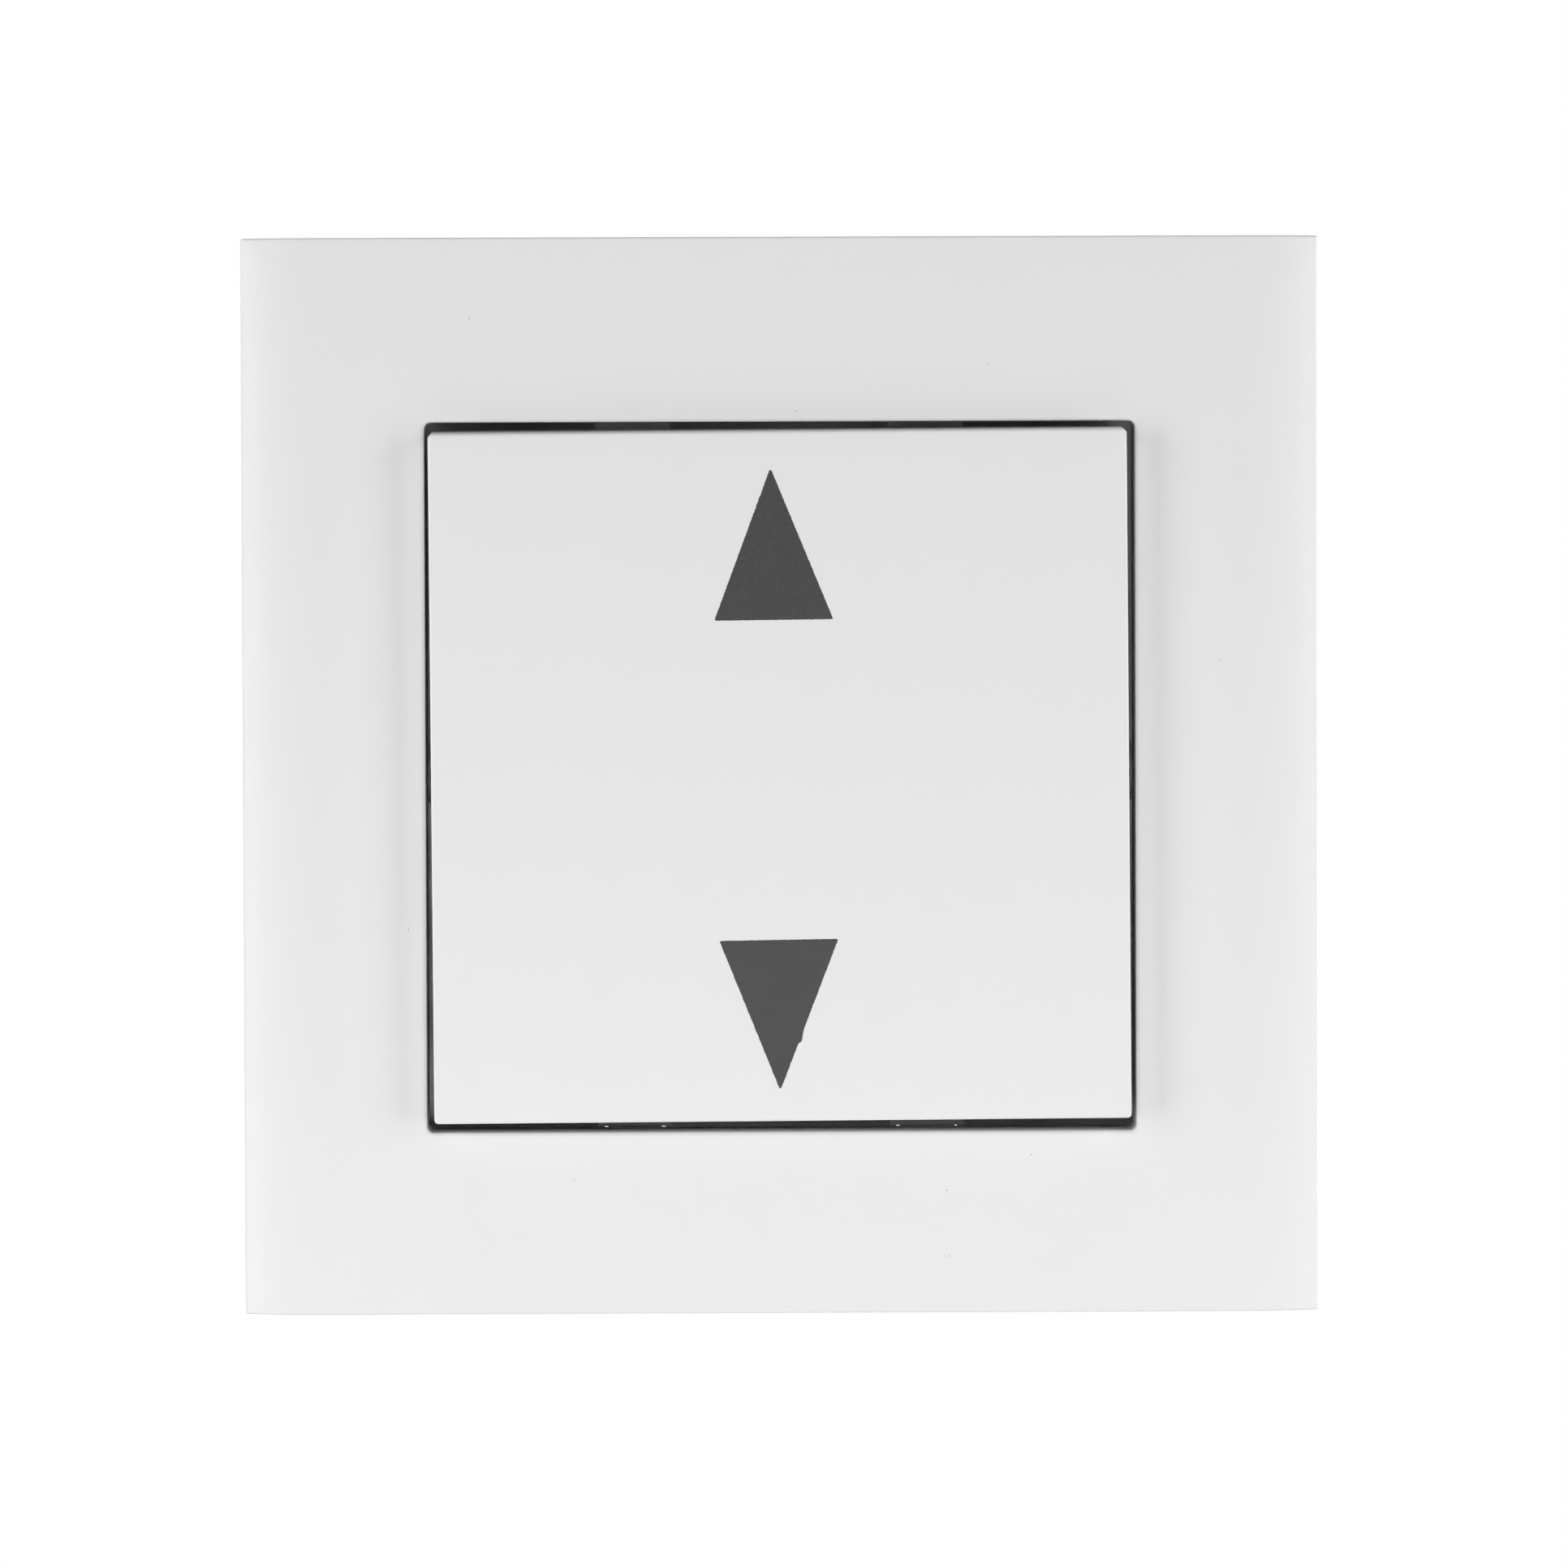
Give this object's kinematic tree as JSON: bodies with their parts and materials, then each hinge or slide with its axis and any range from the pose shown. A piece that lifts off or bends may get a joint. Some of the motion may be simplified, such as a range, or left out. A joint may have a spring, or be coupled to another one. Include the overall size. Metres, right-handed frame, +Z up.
{
  "type": "roller shutter switch",
  "caption": "Flush roller shutter switch: square cover frame around a square rocker with an up and a down arrow, on an insert with spreading claws for a round wall box.",
  "frame": {"origin": "centre of the wall box, on the wall's surface, which is the plane of the frame's rear rim", "axes": "+Y into the wall, +X to the right and +Z up as seen from the room"},
  "size_m": [0.08, 0.0355, 0.08],
  "materials": {
    "frame_plastic": "smooth white, soft gloss",
    "rocker_plastic": "smooth white, soft gloss",
    "arrow_print": "dark grey pad print, matt",
    "housing_plastic": "light grey moulded plastic, fine matt",
    "lever_plastic": "orange moulded plastic, satin",
    "zinc_steel": "zinc plated sheet and screws",
    "spring_steel": "bright spring steel",
    "brass": "stamped brass strip"
  },
  "bodies": {
    "insert": {"cover_frame": "frame_plastic", "support_ring": "zinc_steel", "housing": "housing_plastic", "housing_cover": "housing_plastic", "cover_screw_1": "zinc_steel", "cover_screw_2": "zinc_steel", "cover_screw_3": "zinc_steel", "cover_screw_4": "zinc_steel", "spring_seat": "housing_plastic", "up_return_spring": "spring_steel", "down_return_spring": "spring_steel", "common_busbar": "brass", "up_busbar": "brass", "down_busbar": "brass", "wire_clamp_common": "spring_steel", "wire_clamp_up": "spring_steel", "wire_clamp_down": "spring_steel"},
    "rocker": {"rocker": "rocker_plastic", "rocker_carrier": "housing_plastic"},
    "up_plunger": {"up_plunger": "lever_plastic"},
    "down_plunger": {"down_plunger": "lever_plastic"},
    "contact_lever": {"contact_lever": "brass"},
    "release_lever_common": {"release_lever_common": "lever_plastic"},
    "release_lever_up": {"release_lever_up": "lever_plastic"},
    "release_lever_down": {"release_lever_down": "lever_plastic"},
    "claw_left": {"claw_left": "zinc_steel"},
    "claw_right": {"claw_right": "zinc_steel"},
    "claw_nut_left": {"claw_nut_left": "zinc_steel"},
    "claw_nut_right": {"claw_nut_right": "zinc_steel"},
    "claw_screw_left": {"claw_screw_left": "zinc_steel"},
    "claw_screw_right": {"claw_screw_right": "zinc_steel"}
  },
  "joints": [
    {"name": "rocker_tilt", "type": "hinge", "parent": "insert", "child": "rocker", "pos_m": [0, -0.0074, 0], "axis": [-1, 0, 0], "range_deg": [-4.5, 4.5], "stiffness_Nm_per_rad": 0.6},
    {"name": "up_plunger_slide", "type": "slide", "parent": "insert", "child": "up_plunger", "axis": [0, 1, 0], "range_m": [-0.00096, 0.00096], "deforming": ["up_return_spring"]},
    {"name": "down_plunger_slide", "type": "slide", "parent": "insert", "child": "down_plunger", "axis": [0, 1, 0], "range_m": [-0.00096, 0.00096], "deforming": ["down_return_spring"]},
    {"name": "contact_lever_tilt", "type": "hinge", "parent": "insert", "child": "contact_lever", "pos_m": [0, 0.0103, 0], "axis": [-1, 0, 0], "range_deg": [-4.7, 4.7]},
    {"name": "release_lever_common_push", "type": "slide", "parent": "insert", "child": "release_lever_common", "axis": [0, -1, 0], "range_m": [0, 0.0012], "stiffness_N_per_m": 500, "deforming": ["wire_clamp_common"]},
    {"name": "release_lever_up_push", "type": "slide", "parent": "insert", "child": "release_lever_up", "axis": [0, -1, 0], "range_m": [0, 0.0012], "stiffness_N_per_m": 500, "deforming": ["wire_clamp_up"]},
    {"name": "release_lever_down_push", "type": "slide", "parent": "insert", "child": "release_lever_down", "axis": [0, -1, 0], "range_m": [0, 0.0012], "stiffness_N_per_m": 500, "deforming": ["wire_clamp_down"]},
    {"name": "claw_screw_left_turn", "type": "hinge", "parent": "insert", "child": "claw_screw_left", "pos_m": [-0.0246, 0, 0], "axis": [0, 1, 0], "range_deg": [0, 1555]},
    {"name": "claw_nut_left_run", "type": "slide", "parent": "insert", "child": "claw_nut_left", "axis": [0, -1, 0], "range_m": [0, 0.00216]},
    {"name": "claw_left_swing", "type": "hinge", "parent": "insert", "child": "claw_left", "pos_m": [-0.0216, 0.0019, 0], "axis": [0, 0, 1], "range_deg": [0, 26.1]},
    {"name": "claw_screw_right_turn", "type": "hinge", "parent": "insert", "child": "claw_screw_right", "pos_m": [0.0246, 0, 0], "axis": [0, 1, 0], "range_deg": [0, 1555]},
    {"name": "claw_nut_right_run", "type": "slide", "parent": "insert", "child": "claw_nut_right", "axis": [0, -1, 0], "range_m": [0, 0.00216]},
    {"name": "claw_right_swing", "type": "hinge", "parent": "insert", "child": "claw_right", "pos_m": [0.0216, 0.0019, 0], "axis": [0, 0, -1], "range_deg": [0, 26.1]}
  ],
  "couplings": [
    {"joint": "up_plunger_slide", "follows": "rocker_tilt", "m_per_rad": 0.012},
    {"joint": "down_plunger_slide", "follows": "rocker_tilt", "m_per_rad": -0.012},
    {"joint": "contact_lever_tilt", "follows": "rocker_tilt", "ratio": 1},
    {"joint": "claw_screw_left_turn", "follows": "claw_nut_left_run", "rad_per_m": 12566},
    {"joint": "claw_left_swing", "follows": "claw_nut_left_run", "rad_per_m": 210.11},
    {"joint": "claw_screw_right_turn", "follows": "claw_nut_right_run", "rad_per_m": 12566},
    {"joint": "claw_right_swing", "follows": "claw_nut_right_run", "rad_per_m": 210.11}
  ]
}
